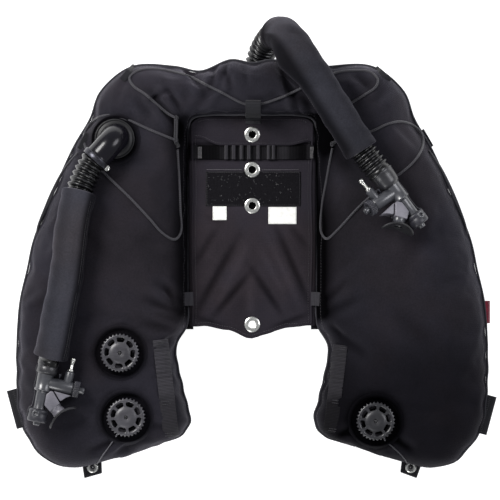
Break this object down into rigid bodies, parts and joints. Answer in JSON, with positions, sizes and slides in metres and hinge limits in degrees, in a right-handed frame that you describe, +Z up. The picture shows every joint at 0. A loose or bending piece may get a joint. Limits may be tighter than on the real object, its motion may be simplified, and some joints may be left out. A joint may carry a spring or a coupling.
{
  "type": "buoyancy compensator wing",
  "caption": "Horseshoe-shaped padded diving buoyancy wing lying flat, with two corrugated inflator hoses, dump valves, bungee lacing and a centre panel with bolt grommets.",
  "frame": {"origin": "on the floor that the wing rests on, under the middle of its box without the two inflator hoses", "axes": "+X to the right of the wing as seen from above, +Y towards the diver's head, +Z up out of the floor, towards the side that carries the valves"},
  "size_m": [0.724, 0.6795, 0.171],
  "materials": {
    "shell_cloth": "coarse woven nylon, matt",
    "bladder_film": "welded urethane film",
    "panel_cloth": "woven nylon, matt",
    "steel": "nickel-plated, satin",
    "webbing": "ribbed nylon webbing",
    "loop_pile": "looped pile",
    "label": "white woven label, blank",
    "elastic": "braided elastic cord",
    "cord": "thin braided cord",
    "plastic": "moulded, fine satin",
    "gloss_plastic": "moulded, glossy",
    "rubber": "smooth rubber",
    "sleeve_cloth": "nylon-faced neoprene, matt"
  },
  "bodies": {
    "wing": {"outer_shell": "shell_cloth", "front_bladder": "bladder_film", "rear_bladder": "bladder_film", "center_panel": "panel_cloth", "rear_panel": "panel_cloth", "grommet_1": "steel", "grommet_2": "steel", "grommet_3": "steel", "grommet_4": "steel", "gear_strap": "webbing", "loop_patch": "loop_pile", "square_label": "label", "care_label": "label", "top_loop": "webbing", "lobe_strap_left": "webbing", "lobe_strap_right": "webbing", "side_tab_left": "webbing", "side_tab_right": "webbing", "eyelet_tab_left": "webbing", "eyelet_tab_right": "webbing", "eyelet_left": "steel", "eyelet_right": "steel", "shoulder_bungee_left": "elastic", "shoulder_bungee_right": "elastic", "cross_bungee_left": "elastic", "cross_bungee_right": "elastic", "edge_cord_left": "elastic", "edge_cord_right": "elastic", "pull_cord_left": "cord", "pull_cord_right": "cord", "dump_base_left_upper": "plastic", "dump_cap_left_upper": "plastic", "dump_spring_left_upper": "steel", "dump_base_left_lower": "plastic", "dump_cap_left_lower": "plastic", "dump_spring_left_lower": "steel", "dump_base_right": "plastic", "dump_cap_right": "plastic", "dump_spring_right": "steel", "shoulder_elbow": "gloss_plastic", "rear_elbow": "gloss_plastic", "left_hose": "rubber", "left_sleeve": "sleeve_cloth", "right_hose": "rubber", "right_sleeve": "sleeve_cloth", "left_inflator_body": "plastic", "left_air_nipple": "steel", "left_mouthpiece": "rubber", "right_inflator_body": "plastic", "right_air_nipple": "steel", "right_mouthpiece": "rubber"},
    "left_inflate_button": {"left_inflate_button": "plastic"},
    "left_deflate_button": {"left_deflate_button": "plastic"},
    "right_inflate_button": {"right_inflate_button": "plastic"},
    "right_deflate_button": {"right_deflate_button": "plastic"},
    "poppet_left_upper": {"dump_poppet_left_upper": "rubber"},
    "poppet_left_lower": {"dump_poppet_left_lower": "rubber"},
    "poppet_right": {"dump_poppet_right": "rubber"},
    "pull_knob_left": {"pull_knob_left": "plastic"},
    "pull_knob_right": {"pull_knob_right": "plastic"}
  },
  "joints": [
    {"name": "left_inflate_press", "type": "slide", "parent": "wing", "child": "left_inflate_button", "axis": [-0.9769, 0.2136, 0], "range_m": [0, 0.003], "stiffness_N_per_m": 900},
    {"name": "left_deflate_press", "type": "slide", "parent": "wing", "child": "left_deflate_button", "axis": [0.194, 0.981, 0], "range_m": [0, 0.003], "stiffness_N_per_m": 900},
    {"name": "right_inflate_press", "type": "slide", "parent": "wing", "child": "right_inflate_button", "axis": [0.7554, 0.5061, -0.4161], "range_m": [0, 0.003], "stiffness_N_per_m": 900},
    {"name": "right_deflate_press", "type": "slide", "parent": "wing", "child": "right_deflate_button", "axis": [-0.6102, 0.7923, 0], "range_m": [0, 0.003], "stiffness_N_per_m": 900},
    {"name": "pull_left", "type": "slide", "parent": "wing", "child": "pull_knob_left", "axis": [-0.0995, -0.995, 0], "range_m": [0, 0.008], "stiffness_N_per_m": 250},
    {"name": "pull_right", "type": "slide", "parent": "wing", "child": "pull_knob_right", "axis": [0.0499, -0.9988, 0], "range_m": [0, 0.008], "stiffness_N_per_m": 250},
    {"name": "poppet_left_upper_lift", "type": "slide", "parent": "wing", "child": "poppet_left_upper", "axis": [0, 0, 1], "range_m": [0, 0.004], "stiffness_N_per_m": 600, "deforming": ["dump_spring_left_upper"]},
    {"name": "poppet_left_lower_lift", "type": "slide", "parent": "wing", "child": "poppet_left_lower", "axis": [0, 0, 1], "range_m": [0, 0.004], "stiffness_N_per_m": 600, "deforming": ["dump_spring_left_lower"]},
    {"name": "poppet_right_lift", "type": "slide", "parent": "wing", "child": "poppet_right", "axis": [0, 0, 1], "range_m": [0, 0.004], "stiffness_N_per_m": 600, "deforming": ["dump_spring_right"]}
  ],
  "couplings": [
    {"joint": "poppet_left_lower_lift", "follows": "pull_left", "ratio": 0.5},
    {"joint": "poppet_right_lift", "follows": "pull_right", "ratio": 0.5}
  ]
}
